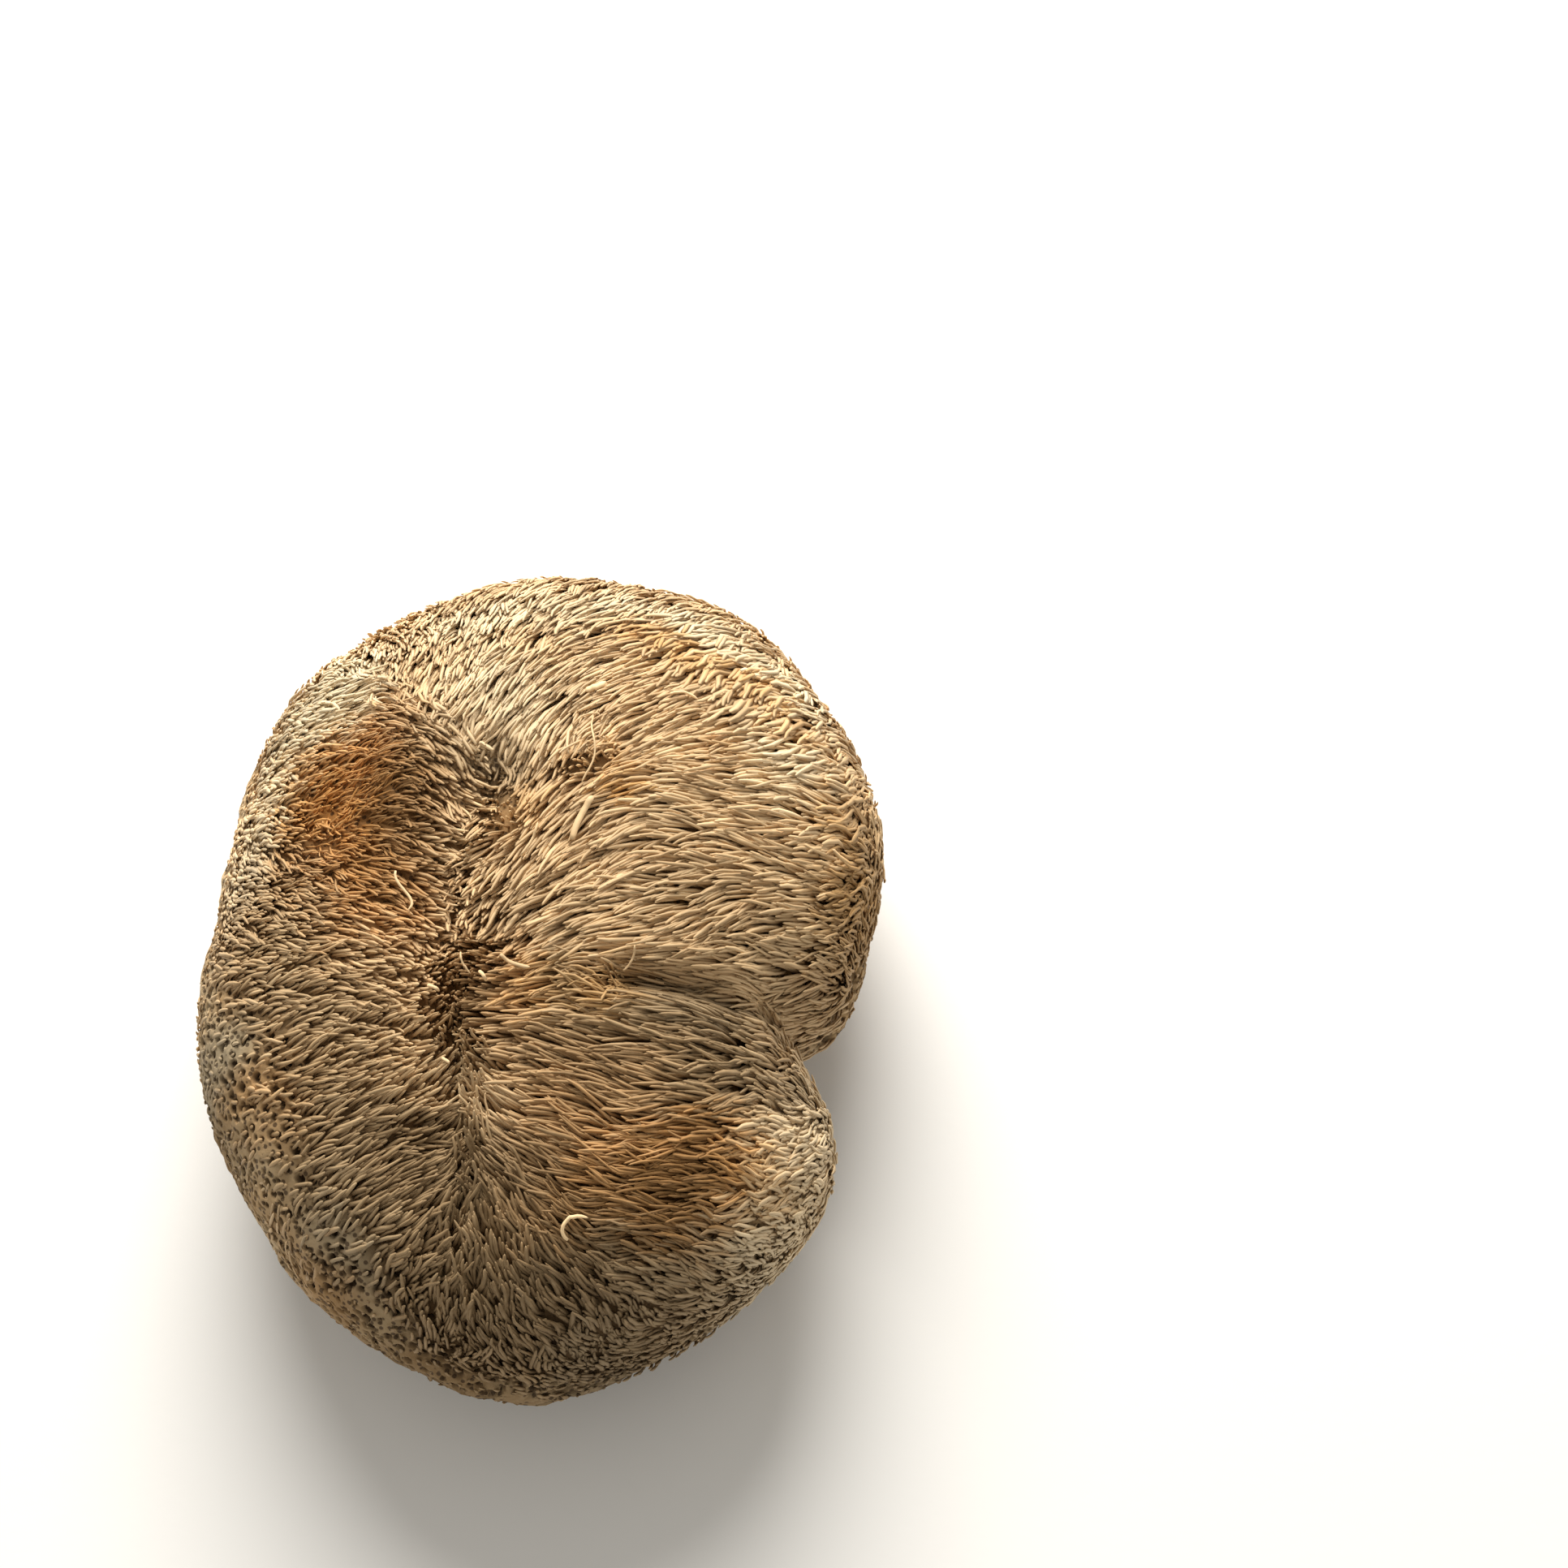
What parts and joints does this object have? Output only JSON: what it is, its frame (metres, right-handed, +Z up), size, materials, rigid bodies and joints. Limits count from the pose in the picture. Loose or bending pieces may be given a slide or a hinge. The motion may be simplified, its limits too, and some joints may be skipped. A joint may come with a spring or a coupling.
{
  "type": "dried lion's mane mushroom",
  "caption": "Whole dried lion's mane mushroom: a squat lobed cushion covered in combed spines, resting on its flat-cut stump.",
  "frame": {"origin": "middle of the footprint, on the surface that the cut stump rests on", "axes": "+Z up out of the cut, +Y along the longest side, away from the viewer of the picture, +X to the viewer's right"},
  "size_m": [0.112, 0.143, 0.061],
  "materials": {
    "dried_flesh": "matte dried fungus flesh, tan to rust brown, paler at the margin"
  },
  "bodies": {
    "root": {"fruit_body": "dried_flesh"}
  },
  "joints": []
}
